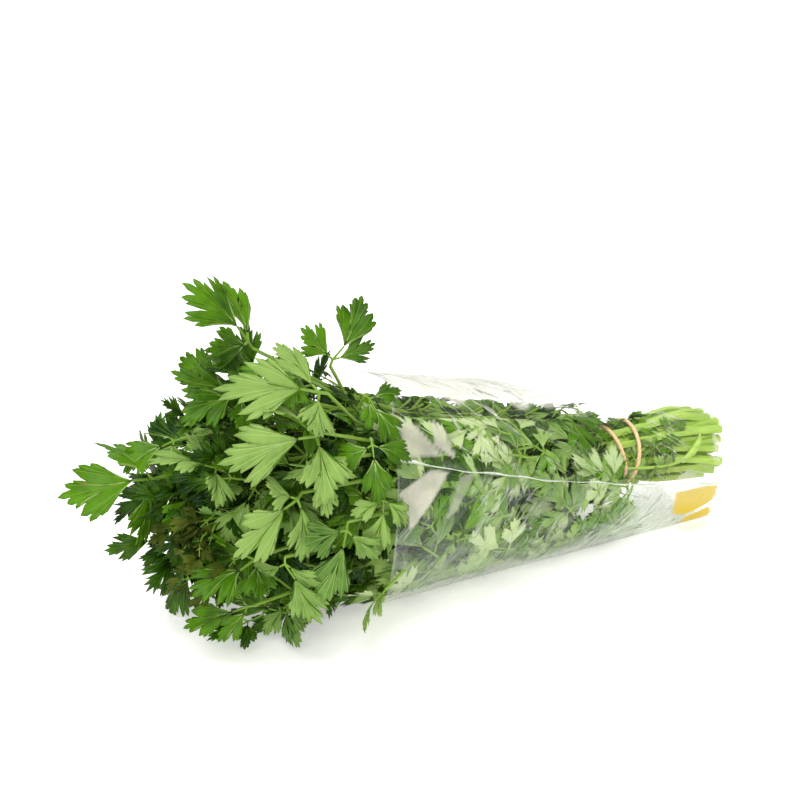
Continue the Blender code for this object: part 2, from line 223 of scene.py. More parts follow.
def smoothstep(low, high, values):
    t = np.clip((values - low) / (high - low), 0, 1)
    return t * t * (3 - 2 * t)


def unit(vector):
    return vector / norm(vector)


def square_to(way, vector):
    """The unit vector square to way that is closest to vector."""
    return unit(vector - way * (vector @ way))


def spun(a, b, angle):
    """The coordinates a and b turned by angle, from a towards b."""
    return a * np.cos(angle) - b * np.sin(angle), a * np.sin(angle) + b * np.cos(angle)


def srgb(red, green, blue):
    """A colour given as it shows on a screen, 0 to 255, as the linear colour that a shader takes."""
    parts = np.array([red, green, blue]) / 255
    return (*np.where(parts > 0.04045, ((parts + 0.055) / 1.055) ** 2.4, parts / 12.92), 1.0)


def grid_faces(index):
    """Faces between the rows and columns of a grid of point numbers."""
    corners = [index[:-1, :-1], index[1:, :-1], index[1:, 1:], index[:-1, 1:]]
    return np.stack(corners, axis=-1).reshape(-1, 4)


def ring_faces(index):
    """Faces between the rows of a grid of point numbers whose last column joins its first."""
    after = np.roll(index, -1, axis=1)
    return np.stack([index[:-1], after[:-1], after[1:], index[1:]], axis=-1).reshape(-1, 4)


# --- Leaflets ---


def toothed(teeth, fan, rng, depth):
    """(point, fan point, is a tooth tip) along one lobe's teeth, with a notch between each two."""
    tips = [np.array(tip) + rng.normal(0, TOOTH_JITTER, 2) for tip in teeth]
    rows = [(tips[0], fan, True)]
    for before, after in zip(tips, tips[1:]):
        middle = (before + after) / 2
        rows.append((middle + (fan - middle) * depth * rng.uniform(0.7, 1.3), fan, False))
        rows.append((after, fan, True))
    return rows


def half_outline(rng, side, cut):
    """One side of a leaflet from its foot to its last notch. cut says how deep the sinus and notches go."""
    depth = NOTCH_DEPTH * cut
    rows = toothed(SIDE_TEETH, np.array(SIDE_FAN), rng, depth)
    sinus = np.array(SINUS) * (1.0 + (1.0 - cut) * 0.5 + rng.normal(0, 0.06))
    rows.append((sinus, sinus / 2, False))
    rows += toothed(MIDDLE_TEETH, np.array(MIDDLE_FAN), rng, depth)[:-1]
    return [(point * (1, side), fan * (1, side), tip) for point, fan, tip in rows]


def with_round_teeth(rows):
    """The outline with a point between each tip and notch, pushed out so that the teeth have round sides."""
    result = [rows[0]]
    for before, after in zip(rows, rows[1:]):
        middle = (before[0] + after[0]) / 2
        run = after[0] - before[0]
        normal = np.array([-run[1], run[0]])
        fan = before[1] if before[2] else after[1]
        if normal @ (middle - fan) < 0:
            normal = -normal
        round_off = min(ROUNDNESS * norm(run), MOST_ROUND)
        result += [(middle + unit(normal) * round_off, fan, False), after]
    return result


def leaflet_flat(rng, rings, round_teeth):
    """A flat leaflet's points, vein distances and reach, with a row for each ring."""
    cut = rng.uniform(0.75, 1.5)
    apex = (np.array(MIDDLE_TEETH[-1]) + rng.normal(0, 0.02, 2), np.array(MIDDLE_FAN), True)
    rows = half_outline(rng, -1, cut) + [apex] + half_outline(rng, 1, cut)[::-1]
    if round_teeth:
        rows = with_round_teeth(rows)
    tips, fans, is_tip = (np.array(column) for column in zip(*rows))
    t = np.array(rings)[:, None, None]
    points = 2 * t * (1 - t) * fans + t * t * tips
    veins = points[:, is_tip]
    distance = norm(points[:, :, None] - veins[:, None], axis=3).min(axis=2)
    return points, distance, np.broadcast_to(t[..., 0], distance.shape)


def leaflet_faces(rings, lines):
    """Faces over a grid of that many rings and lines, with the leaflet's foot as one last point."""
    index = np.arange(rings * lines).reshape(rings, lines)
    foot = np.full(lines - 1, rings * lines)
    fan = np.stack([foot, index[0, :-1], index[0, 1:]], axis=-1)
    return grid_faces(index).tolist() + fan.tolist()


def leaflet_shape(rng, detail, curl):
    """A bent leaflet in its own units: (points, vein distances, reach, faces)."""
    flat, distance, reach = leaflet_flat(rng, RINGS[detail], detail in ROUND_TOOTHED)
    x, y = flat[..., 0], flat[..., 1] * rng.uniform(0.85, 1.08)
    turn = np.arctan2(y, x + 0.12)
    ruffle = rng.uniform(*RUFFLES) * curl
    ruffle = ruffle * np.sin(turn * rng.uniform(5, 9) + rng.uniform(0, 6)) * reach**2
    fold = rng.uniform(*FOLDS) * curl * np.abs(y) * (1 - 0.4 * reach)
    sag = rng.uniform(*SAGS) * curl * y * y
    z = PILLOW * np.minimum(distance / PILLOW_WIDTH, 1) + ruffle + fold - sag
    bend = rng.uniform(*BENDS) * curl
    bend = bend if abs(bend) > LEAST_BEND else LEAST_BEND
    y, z = spun(y, z, rng.normal(0, TWIST) * curl * x)
    radius = 1 / bend + z
    points = np.stack([radius * np.sin(bend * x), y, radius * np.cos(bend * x) - 1 / bend], axis=-1)
    points = np.vstack([points.reshape(-1, 3), np.zeros(3)])
    return points, np.append(distance, 0), np.append(reach, 0), leaflet_faces(*distance.shape)


# --- Pieces ---


class Gathered:
    """The points and faces of one piece, gathered before they become its mesh."""

    def __init__(self):
        self.points, self.faces, self.slots, self.reaches = [], [], [], []
        self.count = 0


class Blades(Gathered):
    """Leaflets. Those in material slot 0 have their upper side out, and those in slot 2 their underside."""

    def __init__(self):
        super().__init__()
        self.veins, self.tints = [], []

    def add(self, points, veins, reaches, faces, tint, pale):
        self.points.append(points)
        self.veins.append(veins)
        self.reaches.append(reaches)
        self.tints.append(np.full(len(points), tint))
        self.faces += [[i + self.count for i in face] for face in faces]
        self.slots += [2 if pale else 0] * len(faces)
        self.count += len(points)


class Stalks(Gathered):
    """Tubes. Material slot 1 is for cut ends."""

    def add(self, path, radii, sides, ridge=0.0, start=0.0, end=1.0, cut=False):
        """A tube along path, with reach running from start to end. cut makes its first end a cut face."""
        path = np.array(path)
        tangents = np.gradient(path, axis=0)
        tangents /= norm(tangents, axis=1)[:, None]
        over = unit(np.cross(tangents[0], (0.13, 0.97, 0.21)))
        turns = np.linspace(0, math.tau, sides, endpoint=False)
        swell = 1 + ridge * np.cos(turns * 5)
        for centre, tangent, radius in zip(path, tangents, np.broadcast_to(radii, len(path))):
            over = square_to(tangent, over)
            across = np.cross(tangent, over)
            ring = np.outer(np.cos(turns) * swell, over) + np.outer(np.sin(turns) * swell, across)
            self.points.append(centre + ring * radius)
        index = self.count + np.arange(len(path) * sides).reshape(len(path), sides)
        quads = ring_faces(index)
        self.faces += quads.tolist() + [index[0, ::-1].tolist(), index[-1].tolist()]
        self.slots += [0] * len(quads) + [int(cut), 0]
        self.reaches.append(np.repeat(np.linspace(start, end, len(path)), sides))
        self.count += len(path) * sides


def new_mesh(name, points, faces, attributes):
    mesh = bpy.data.meshes.new(name)
    mesh.from_pydata(np.vstack(points).tolist(), [], faces)
    for key, values in attributes.items():
        layer = mesh.attributes.new(key, "FLOAT", "POINT")
        layer.data.foreach_set("value", np.concatenate(values).astype(np.float32))
    mesh.shade_smooth()
    return mesh


def new_object(name, data):
    obj = bpy.data.objects.new(name, data)
    bpy.context.scene.collection.objects.link(obj)
    return obj


def add_piece(name, mesh, materials, slot, *nodes):
    for material in materials:
        mesh.materials.append(material)
    obj = new_object(name, mesh)
    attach(obj, "root")
    if nodes:
        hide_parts(*nodes)
    return obj


def thicken(obj, thickness, offset):
    skin = obj.modifiers.new("Thickness", "SOLIDIFY")
    skin.thickness = thickness
    skin.offset = offset
    return skin


def add_blades(name, blades, *nodes, wilted=False):
    attributes = {"vein": blades.veins, "reach": blades.reaches, "tint": blades.tints}
    mesh = new_mesh(name, blades.points, blades.faces, attributes)
    mesh.polygons.foreach_set("material_index", blades.slots)
    top, under = (LEAF_WILTED, LEAF_WILTED) if wilted else (LEAF_TOP, LEAF_UNDER)
    obj = add_piece(name, mesh, [top, under, under, top], "leaf", *nodes)
    thicken(obj, LEAF_THICKNESS, -1).material_offset = 1


def add_stalks(name, stalks, *nodes):
    mesh = new_mesh(name, stalks.points, stalks.faces, {"reach": stalks.reaches})
    mesh.polygons.foreach_set("material_index", stalks.slots)
    add_piece(name, mesh, [STALK_SKIN, CUT_END], "stem", *nodes)
    mesh.set_sharp_from_angle(angle=math.radians(60))


# --- Reading the frame ---


def welded(node):
    """A CAD node's points, one for each place, and the edges between them."""
    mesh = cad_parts[node].data
    points = np.array([vertex.co for vertex in mesh.vertices])
    places, index = np.unique(np.round(points, 5), axis=0, return_inverse=True)
    index = index.reshape(-1)
    edges = {tuple(sorted((index[a], index[b]))) for a, b in (edge.vertices for edge in mesh.edges)}
    return places, [edge for edge in edges if edge[0] != edge[1]]


def stem_line(node):
    """The centre line of a CAD stem from its cut end to its leaf: its rings' centres, walked one by one."""
    points, edges = welded(node)
    links = {i: set() for i in range(len(points))}
    for a, b in edges:
        links[a].add(b)
        links[b].add(a)
    ring = set(np.argsort(-points[:, 0])[:5].tolist())
    seen = set(ring)
    centres = []
    while ring:
        centres.append(points[list(ring)].mean(axis=0))
        ring = {b for a in ring for b in links[a]} - seen
        seen |= ring
    return np.array(centres)


def smooth_line(corners, step):
    """A curve through the corners with a point about every step."""
    padded = np.vstack([2 * corners[0] - corners[1], corners, 2 * corners[-1] - corners[-2]])
    points = []
    for a, b, c, d in zip(padded, padded[1:], padded[2:], padded[3:]):
        count = max(2, round(float(norm(c - b)) / step))
        t = np.arange(count)[:, None] / count
        points.append(b + 0.5 * t * (c - a + t * (2 * a - 5 * b + 4 * c - d + t * (3 * (b - c) + d - a))))
    return np.vstack(points + [corners[-1:]])


def leaf_frame(node, base):
    """Where a CAD leaf starts and how it lies: (base, along, up, size). Its blade bulges towards up."""
    points, _ = welded(node)
    base = points[np.argsort(norm(points - base, axis=1))[:4]].mean(axis=0)
    offsets = points - base
    tip = offsets[np.argmax(norm(offsets, axis=1))]
    length = norm(tip)
    chord = unit(tip)
    aside = offsets - np.outer(offsets @ chord, chord)
    across = unit(aside[np.argmax(norm(aside, axis=1))])
    up = np.cross(chord, across)
    middle = (np.abs(aside @ across) < 0.12 * length) & (offsets @ chord > 0.2 * length)
    if (aside[middle] @ up).mean() < 0:
        up = -up
    along = unit(chord * math.cos(LEAF_DROOP / 2) + up * math.sin(LEAF_DROOP / 2))
    return base, along, square_to(along, up), length / LEAF_REACH


# --- Keeping the greens where they belong ---


def film_lean(angle):
    """How far the mouth leans out at an angle, and how far the stem end does."""
    mouth = MOUTH_REACH * np.hypot(np.cos(angle - MOUTH_TURN), 0.1)
    return mouth, END_REACH * np.cos(angle - SEAM_ANGLE_END) ** 2


def sleeve_section(t):
    """The sleeve's half width, centre height and half height at t."""
    half_width = (MOUTH_WIDTH + (END_WIDTH - MOUTH_WIDTH) * t) / 2
    height = MOUTH_HEIGHT + (END_HEIGHT - MOUTH_HEIGHT) * t
    return half_width, height / 2 - FLAT_DEPTH, height / 2 + FLAT_DEPTH


def narrowing(place):
    """How small leaves are at a place in the sleeve beside those at its mouth."""
    return 1 - 0.45 * place


def pressed_in_sleeve(points, gap):
    """The points with those that would cross the film pulled in, so that leaves lie flat against it."""
    place = points[:, 0] / SLEEVE_LENGTH + 0.5
    half_width, centre, half_height = sleeve_section(np.clip(place, -0.1, 1))
    angle = np.arctan2((points[:, 2] - centre) / half_height, -points[:, 1] / half_width)
    mouth, end = film_lean(angle)
    t = (points[:, 0] + SLEEVE_LENGTH / 2 + mouth) / (SLEEVE_LENGTH + mouth - end)
    half_width, centre, half_height = sleeve_section(np.clip(t, -0.1, 1))
    out = np.hypot(points[:, 1] / half_width, (points[:, 2] - centre) / half_height)
    slump = SLUMP * smoothstep(0.86, 1.0, np.sin(angle)) * (1 - smoothstep(0.42, 0.66, t))
    limit = 1 - (gap + slump) / half_width
    pull = np.where(out > limit, limit / np.maximum(out, 1e-6), 1.0)
    pull = 1 + (pull - 1) * smoothstep(-0.05, 0.02, t)
    result = points.copy()
    result[:, 1] *= pull
    result[:, 2] = centre + (points[:, 2] - centre) * pull
    return result


def above_floor(points):
    z = points[:, 2]
    low = z < FLOOR_BEND
    result = points.copy()
    result[low, 2] = FLOOR_GAP + (FLOOR_BEND - FLOOR_GAP) * np.exp((z[low] - FLOOR_BEND) / FLOOR_BEND)
    return result


# --- Leaves on their stalks ---


class LeafPlace:
    """Where a compound leaf grows and how it bends. place() takes points in leaf units to the row frame."""

    def __init__(self, base, along, up, size, droop=LEAF_DROOP, inside=False, gap=0.001):
        self.base, self.along, self.up, self.size = base, along, up, size
        self.across = np.cross(up, along)
        self.curl = max(droop, 0.02) / LEAF_REACH
        self.inside, self.gap = inside, gap

    def place(self, points):
        u, v, w = points.T
        sink = (1 - np.cos(self.curl * u)) / self.curl + LEAF_CUP * v * v
        reach = np.sin(self.curl * u) / self.curl
        placed = self.base + self.size * (
            np.outer(reach, self.along) + np.outer(v, self.across) + np.outer(w - sink, self.up)
        )
        if self.inside:
            placed = pressed_in_sleeve(placed, self.gap)
        return above_floor(placed)


def turned(points, angle, pitch, roll):
    """Points of a leaflet along +u, rolled about its line, pitched up, then turned in the leaf's plane."""
    x, y, z = points.T
    y, z = spun(y, z, roll)
    x, z = spun(x, z, pitch)
    return np.stack([*spun(x, y, angle), z], axis=-1)


class Tuft:
    """Leaves that become one piece and stalks that become another, with the draws that shape them."""

    def __init__(self, seed, wilted=False):
        self.rng = np.random.default_rng(seed)
        self.wilted = wilted
        self.blades, self.stalks = Blades(), Stalks()

    def near(self, vector, spread):
        """A random vector near this one."""
        return np.array(vector) + self.rng.normal(0, spread, 3)

    def place(self, base, way, up, size, inside=False):
        way = unit(way)
        droop, gap = self.rng.uniform(*DROOPS), self.rng.uniform(*FILM_GAPS)
        return LeafPlace(base, way, square_to(way, up), size, droop, inside, gap)

    def add_leaf(self, where, pale=False, detail="outer", curl=1.0, tint=0.5, spread=SIDE_ANGLE):
        """Three leaflets on short stalks, the side ones at an angle of spread. pale has the underside out."""
        rng = self.rng
        node = np.array([STALK_LENGTH, 0, 0])
        sway = rng.normal(0, 0.06)
        start = np.array([MIDDLE_START, sway, 0])
        leaflets = [(start, MIDDLE_LEAFLET * rng.uniform(0.9, 1.04), sway + rng.normal(0, 0.08))]
        for side in (-1, 1):
            length = SIDE_LEAFLET * rng.uniform(0.85, 1.05)
            leaflets.append((node + (0.05, side * 0.10, 0), length, side * (spread + rng.normal(0, 0.14))))
        for start, length, angle in leaflets:
            points, veins, reaches, faces = leaflet_shape(rng, detail, curl)
            pitch, roll = rng.normal(0.05, 0.16) * curl, rng.normal(0, 0.3) * curl
            placed = where.place(turned(points * length, angle, pitch, roll) + start)
            self.blades.add(placed, veins, reaches, faces, tint + rng.normal(0, 0.08), pale)
            stalk = where.place(np.linspace(node, start, 3))
            self.stalks.add(stalk, where.size * np.linspace(0.021, 0.015, 3), STALK_SIDES, start=0.9)
        stalk = where.place(np.linspace((0, 0, 0), node, 3))
        self.stalks.add(stalk, where.size * 0.022, STALK_SIDES, start=0.85)

    def add_filler(self, where, foot, **looks):
        """A leaf that no CAD stem carries, on a thin stalk that runs back to foot inside the bunch."""
        self.add_leaf(where, **looks)
        start = where.place(np.zeros((1, 3)))[0]
        handle = start - where.along * norm(start - foot) * 0.3
        t = np.linspace(0, 1, 6)[:, None]
        path = start * (1 - t) ** 2 + 2 * handle * t * (1 - t) + foot * t * t
        self.stalks.add(path, np.linspace(0.0005, 0.0008, 6), STALK_SIDES, start=0.8, end=0.6)

    def finish(self, names, leaf_nodes=(), stem_nodes=()):
        """Makes the two pieces, in place of the CAD nodes. Their names have leaves and stalks filled in."""
        add_blades(names.format("leaves"), self.blades, *leaf_nodes, wilted=self.wilted)
        add_stalks(names.format("stalks"), self.stalks, *stem_nodes)


def within_head(point, scale):
    """Whether a point lies inside the rounded head of leaves, grown by scale, or in the sleeve."""
    out = (point - HEAD_CENTRE) / (HEAD_RADII * scale)
    return point[0] > MOUTH_X or out @ out < 1


def side_leaf_places(tuft, line, index, up, across, size, inside):
    """Where leaves grow from opposite sides of a stalk, each with the start of the short stalk it is on."""
    rng = tuft.rng
    start = line[index]
    tangent = unit(line[min(index + 2, len(line) - 1)] - line[max(index - 2, 0)])
    for side in (-1, 1):
        spread = rng.uniform(0.5, 1.0)
        way = unit(tangent * math.cos(spread) + across * side * math.sin(spread) + up * rng.normal(0, 0.2))
        leaf_up = tuft.near(up, 0.3)
        base = start + way * rng.uniform(*SIDE_STALKS)
        scale = size * rng.uniform(0.64, 0.88)
        where = tuft.place(base, way, leaf_up, scale, inside)
        if within_head(base + way * scale * LEAF_REACH, 1.24):
            yield start, where


def add_side_leaves(tuft, line, up, size, bare):
    """Leaves in pairs down a sprig's stalk, which is bare below its end leaf and again near its cut end."""
    rng = tuft.rng
    runs = np.cumsum(np.append(0, norm(np.diff(line, axis=0), axis=1)))
    from_tip = runs[-1] - runs
    distance = bare * rng.uniform(0.85, 1.15)
    while distance < from_tip[0]:
        index = int(np.argmin(np.abs(from_tip - distance)))
        x, y, z = line[index]
        if x > BARE_FROM_X:
            break
        inside = x > MOUTH_X - 0.02
        lean = unit(up + 6 * np.array([0, y, z - 0.06])) if inside else up
        below = max(index, 1)
        tangent = unit(line[below] - line[below - 1])
        lean = square_to(tangent, lean)
        scale = min(size, LARGEST_SIDE_LEAF) * (0.72 if inside else 1.0)
        for foot, where in side_leaf_places(tuft, line, index, lean, np.cross(lean, tangent), scale, inside):
            pale = rng.uniform() < 0.25
            # Leaves inside the sleeve are made darker: painted shade deep in the bunch.
            tint = rng.uniform(-0.1, 0.7) - (0.9 if inside else 0.0)
            tuft.add_leaf(where, pale, "deep" if inside else "outer", tint=tint)
            stalk = np.linspace(foot, where.base, 5)
            tuft.stalks.add(stalk, SIDE_STALK_RADIUS, STALK_SIDES, start=0.7, end=0.85)
        distance += rng.uniform(0.024, 0.036) * (1.4 if inside else 1.0)


def spread_cut_end(line):
    """A stem's line, with its cut end fanned out a little further from its neighbours but inside the film."""
    weight = smoothstep(TIE_X, CAD_BOX[1][0], line[:, 0])
    fan = 1 + FAN_OUT * weight
    result = line.copy()
    result[:, 1] *= fan
    result[:, 2] = BUNDLE_HEIGHT + (line[:, 2] - BUNDLE_HEIGHT) * fan + 0.003 * weight
    spread = weight > 0
    result[spread] = pressed_in_sleeve(result[spread], STEM_GAP)
    return result


def end_leaf(number, tip):
    """How a sprig's end leaf lies at the tip of its stem: (base, along, up, size)."""
    base, along, up, size = leaf_frame(f"leaf_{number:02d}", tip)
    if number in LEAF_AIMS:
        along = unit(np.array(LEAF_AIMS[number]))
        up = square_to(along, up)
    roll = LEAF_ROLLS.get(number, 0.0)
    up = up * math.cos(roll) + np.cross(along, up) * math.sin(roll)
    return base, along, up, size * LEAF_SCALES.get(number, 1.0)


def build_sprig(number):
    """One stem with its end leaf and its side leaves."""
    tuft = Tuft(100 + number)
    stem, leaf = f"stem_{number:02d}", f"leaf_{number:02d}"
    line = spread_cut_end(smooth_line(stem_line(stem), STEM_STEP))
    base, along, up, size = end_leaf(number, line[-1])
    radii = STEM_TIP_RADIUS + STEM_TAPER * np.linspace(1, 0, len(line)) ** 1.5
    radii = np.append(radii, radii[-1])
    tuft.stalks.add(np.vstack([line, base]), radii, STEM_SIDES, STEM_RIDGE, end=0.85, cut=True)
    where = LeafPlace(base, along, up, size, inside=base[0] > MOUTH_X)
    looks = {"tint": TINTS.get(number, TINT), "spread": SIDE_ANGLES.get(number, SIDE_ANGLE)}
    tuft.add_leaf(where, number in UNDERSIDE_OUT, "hero", **looks)
    add_side_leaves(tuft, line, up, size, BARE_STALKS.get(number, BARE_STALK))
    tuft.finish(f"{{}}_{number:02d}", [leaf], [stem])


def inner_leaf(tuft):
    """One of those deep in the head, which fill it behind the leaves that the stems carry outermost."""
    rng = tuft.rng
    ball = unit(rng.normal(0, 1, 3)) * rng.uniform(0.2, 0.84)
    base = HEAD_CENTRE + ball * HEAD_RADII
    base[2] = max(base[2], 0.012)
    way = tuft.near(ball + (-0.45, 0, 0), 0.35)
    up = tuft.near(ball + (-0.2, 0, 0.5), 0.4)
    where = tuft.place(base, way, up, rng.uniform(0.018, 0.028))
    foot = np.array([-0.10, base[1] * 0.45, (base[2] + 0.058) / 2])
    return where, foot, rng.uniform(-0.5, 0.3), rng.uniform() < 0.12


def cluster_leaf(tuft, centre, spread, way, sizes, tints):
    """One of a few small leaves that share a place and a direction."""
    rng = tuft.rng
    base = tuft.near(centre, spread)
    base[2] = max(base[2], 0.010)
    along = tuft.near(way, 0.45)
    up = tuft.near((-0.2, -0.8, 0.5), 0.5)
    where = tuft.place(base, along, up, rng.uniform(*sizes), inside=centre[0] > MOUTH_X)
    foot = base + (0.030, -base[1] * 0.5, (0.06 - base[2]) * 0.3)
    pale = not tuft.wilted and rng.uniform() < tints[1] - 0.2
    return where, foot, rng.uniform(*tints), pale


def against_film(tuft, place, angle, depth, size):
    """Where a leaf lies depth below the film, and the way out through the film there."""
    skin = film_point(np.array([place]), np.array([angle]))[0]
    skin[0] = (place - 0.5) * SLEEVE_LENGTH
    out = outward(angle)
    around = np.array([0, math.sin(angle), math.cos(angle)])
    turn = tuft.rng.normal(0, 0.7)
    way = around * math.sin(turn) - (math.cos(turn), 0, 0)
    facing = float(smoothstep(0.7, 1.2, angle) * (1 - smoothstep(1.45, 1.8, angle)))
    up = tuft.near(out - (0, 0.7 * facing, 0), 0.2)
    return tuft.place(skin - out * depth, way, up, size, inside=True), out


def sleeve_leaf(tuft, angles, depths, sizes, tints, odds):
    """One of those in the sleeve. odds are those of a pale leaf low down and higher up."""
    rng = tuft.rng
    place = rng.uniform(0.0, 1.0) ** 1.2 * 0.66
    narrow = narrowing(place)
    angle = max(rng.uniform(*angles), -1.35 + 2.4 * max(0.0, place - 0.32))
    depth = rng.uniform(*depths) * narrow
    where, out = against_film(tuft, place, angle, depth, rng.uniform(*sizes) * narrow)
    foot = where.base - where.along * 0.004 + (0.008, 0, 0) - out * 0.013
    pale = rng.uniform() < (odds[0] if angle < -0.4 else odds[1])
    return where, foot, rng.uniform(*tints), pale


def ridge_leaf(tuft):
    """One of those that stand just under the sleeve's top, with their blades towards the near side."""
    rng = tuft.rng
    place = rng.uniform(0.02, 0.62)
    _, centre, half_height = sleeve_section(place)
    x = (place - 0.5) * SLEEVE_LENGTH
    base = np.array([x, rng.uniform(-0.034, -0.008), centre + half_height * 0.60])
    way = tuft.near((-0.8, 0, 0.5), 0.3)
    up = tuft.near((0, -1, 0.3), 0.25)
    where = tuft.place(base, way, up, rng.uniform(0.024, 0.036) * narrowing(place), inside=True)
    return where, base + (0.010, 0.008, -0.008), rng.uniform(-0.5, 1.8), rng.uniform() < 0.4


# Leaves that no CAD stem carries: names, seed, how many, detail, curl, and what gives each one's place, foot,
# brightness and side. Then centre, spread, direction, sizes and brightness for a cluster, and angles, depths
# below the film, sizes, brightness and odds of a pale one for those in the sleeve.
FILLERS = (
    ("inner_{}", 41, 125, "deep", 1.2, inner_leaf),
    ("wilted_{}", 71, 14, "inner", 2.4, cluster_leaf,
     (-0.232, -0.030, 0.061), (0.007, 0.010, 0.011), (-0.6, -0.3, -0.1), (0.013, 0.020), (-0.5, 0.7)),
    ("curly_{}", 73, 10, "outer", 1.9, cluster_leaf,
     (-0.136, -0.047, 0.076), (0.004, 0.004, 0.010), (-0.5, -0.3, -0.8), (0.016, 0.022), (0.5, 0.9)),
    ("low_{}", 79, 24, "deep", 1.0, cluster_leaf,
     (-0.148, -0.014, 0.036), (0.010, 0.018, 0.009), (-0.8, -0.2, -0.2), (0.018, 0.025), (-0.5, 0.3)),
    ("left_{}", 83, 22, "deep", 1.0, cluster_leaf,
     (-0.224, 0.010, 0.076), (0.008, 0.020, 0.018), (-0.9, -0.3, -0.1), (0.020, 0.028), (-0.4, 0.3)),
    ("mouth_{}", 89, 24, "deep", 1.0, cluster_leaf,
     (-0.108, -0.028, 0.054), (0.008, 0.022, 0.024), (-0.5, -0.6, -0.2), (0.020, 0.030), (-0.9, -0.2)),
    ("floor_{}", 97, 12, "deep", 1.0, cluster_leaf,
     (-0.160, -0.018, 0.024), (0.014, 0.008, 0.003), (-0.7, -0.2, -0.1), (0.018, 0.024), (-0.5, 0.2)),
    ("crown_{}", 101, 9, "outer", 1.0, cluster_leaf,
     (-0.190, 0.004, 0.130), (0.009, 0.010, 0.005), (-0.7, -0.1, 0.5), (0.024, 0.032), (0.0, 0.5)),
    ("front_{}", 107, 7, "outer", 1.0, cluster_leaf,
     (-0.194, -0.030, 0.019), (0.007, 0.005, 0.003), (-0.9, 0.1, 0.0), (0.022, 0.028), (-0.1, 0.5)),
    ("sleeve_{}_near", 53, 90, "inner", 0.8, sleeve_leaf,
     (-1.35, 1.35), (0.002, 0.009), (0.029, 0.047), (-0.3, 2.8), (0.75, 0.45)),
    ("sleeve_{}_far", 54, 60, "deep", 0.8, sleeve_leaf,
     (1.6, 4.5), (0.002, 0.009), (0.026, 0.042), (-0.2, 2.1), (0.75, 0.45)),
    # The middle leaves sit deep in the sleeve and are dark: painted shade in the gaps behind the leaves
    # against the film.
    ("sleeve_{}_middle", 55, 60, "deep", 0.8, sleeve_leaf,
     (-1.4, 4.5), (0.014, 0.036), (0.022, 0.034), (-1.6, -0.8), (0.08, 0.08)),
    ("ridge_{}", 103, 34, "inner", 0.8, ridge_leaf),
)


def build_fillers(names, seed, count, detail, curl, grow, *shape):
    tuft = Tuft(seed, wilted=names.startswith("wilted"))
    for _ in range(count):
        where, foot, tint, pale = grow(tuft, *shape)
        tuft.add_filler(where, foot, pale=pale, detail=detail, curl=curl, tint=tint)
    tuft.finish(names)


def add_curving_stalk(stalks):
    """The thin stalk that curves up across the cut ends, and widens to a small blade before its tip."""
    curve = pressed_in_sleeve(smooth_line(np.array(CURVING_STALK), 0.003), STEM_GAP)
    reach = np.linspace(0, 1, len(curve))
    blade = 0.0016 * np.exp(-(((reach - 0.80) / 0.11) ** 2))
    radii = 0.0009 + blade - 0.0007 * smoothstep(0.88, 1.0, reach)
    stalks.add(curve, radii, 8, ridge=0.06, start=0.3, end=0.0)


def build_tie_leaves():
    """Small leaves that stick out of the stems near the rubber band, and one thin curving stalk."""
    tuft = Tuft(61)
    rng = tuft.rng
    for xs, sizes in [group[1:] for group in TIE_LEAVES for _ in range(group[0])]:
        x = rng.uniform(*xs)
        angle = rng.uniform(-0.9, 3.4)
        out = outward(angle)
        base = np.array([x, 0, BUNDLE_HEIGHT + 0.004]) + out * rng.uniform(0.016, 0.021)
        way = tuft.near((rng.choice((-1.0, 1.0)), 0, 0), 0.5)
        size = rng.uniform(*sizes)
        where = tuft.place(base, way, tuft.near(out, 0.3), size, inside=True)
        foot = base + (0.008, 0, 0) - out * 0.006
        looks = {"tint": rng.uniform(0.5, 1.4), "pale": rng.uniform() < 0.4}
        tuft.add_filler(where, foot, detail="deep", curl=1.1, **looks)
    add_curving_stalk(tuft.stalks)
    tuft.finish("tie_{}")


def build_extra_stems():
    """Stems whose leaves are lost in the bunch: they fill it out at its cut end."""
    rng = np.random.default_rng(67)
    stalks = Stalks()
    middle = np.array([0, 0, BUNDLE_HEIGHT + 0.002])
    for index in range(EXTRA_STEMS):
        turn = index * 2.4
        out = math.sqrt((index + 0.5) / EXTRA_STEMS)
        across = BUNDLE_RADIUS * out * np.array([0, math.cos(turn), math.sin(turn)])
        corners = middle + np.array([
            across + (CAD_BOX[1][0] + rng.uniform(-0.006, 0.002), 0, 0),
            across * 0.85 + (0.085, 0, 0),
            across * 0.66 + (TIE_X, 0, 0.003),
            across * 0.9 + (0.0, 0, 0.006),
            across * 1.4 + (-0.07, 0, 0.012),
        ])
        line = smooth_line(corners, STEM_STEP)
        stalks.add(line, np.linspace(0.0027, 0.0015, len(line)), STEM_SIDES, STEM_RIDGE, end=0.5, cut=True)
    add_stalks("extra_stems", stalks)


# --- Film sleeve ---


def inside_polygon(place, angle, corners, soft):
    """1 inside a convex polygon of (place, angle) corners and 0 outside, with an edge soft metres wide."""
    u, v = place * SLEEVE_LENGTH, angle * GIRTH_RADIUS
    corners = np.array(corners) * (SLEEVE_LENGTH, GIRTH_RADIUS)
    centre = corners.mean(axis=0)
    depth = np.ones_like(place)
    for a, b in zip(corners, np.roll(corners, -1, axis=0)):
        normal = np.array([a[1] - b[1], b[0] - a[0]]) / norm(b - a)
        normal *= np.sign(normal @ (centre - a))
        depth = np.minimum(depth, (u - a[0]) * normal[0] + (v - a[1]) * normal[1])
    return smoothstep(-soft, soft, depth)


def seam_angle(t):
    """The near seam's angle. The far seam is half a turn on."""
    return SEAM_ANGLE_MOUTH + (SEAM_ANGLE_END - SEAM_ANGLE_MOUTH) * t


def seam_depth(place, angle):
    """How far below the nearer of the two seams a point of the film is, as an angle."""
    seam = seam_angle(place)
    return np.where(angle < math.pi / 2, seam - angle, angle - seam - math.pi)


def painted_glare(place, angle):
    """How milky the film is painted on its glaring facets, a painted reflection of the light, and 0 between
    them.
    """
    found = np.zeros_like(place)
    for strength, corners in PAINTED_GLARES:
        found = np.maximum(found, strength * inside_polygon(place, angle, corners, GLARE_EDGE))
    return found


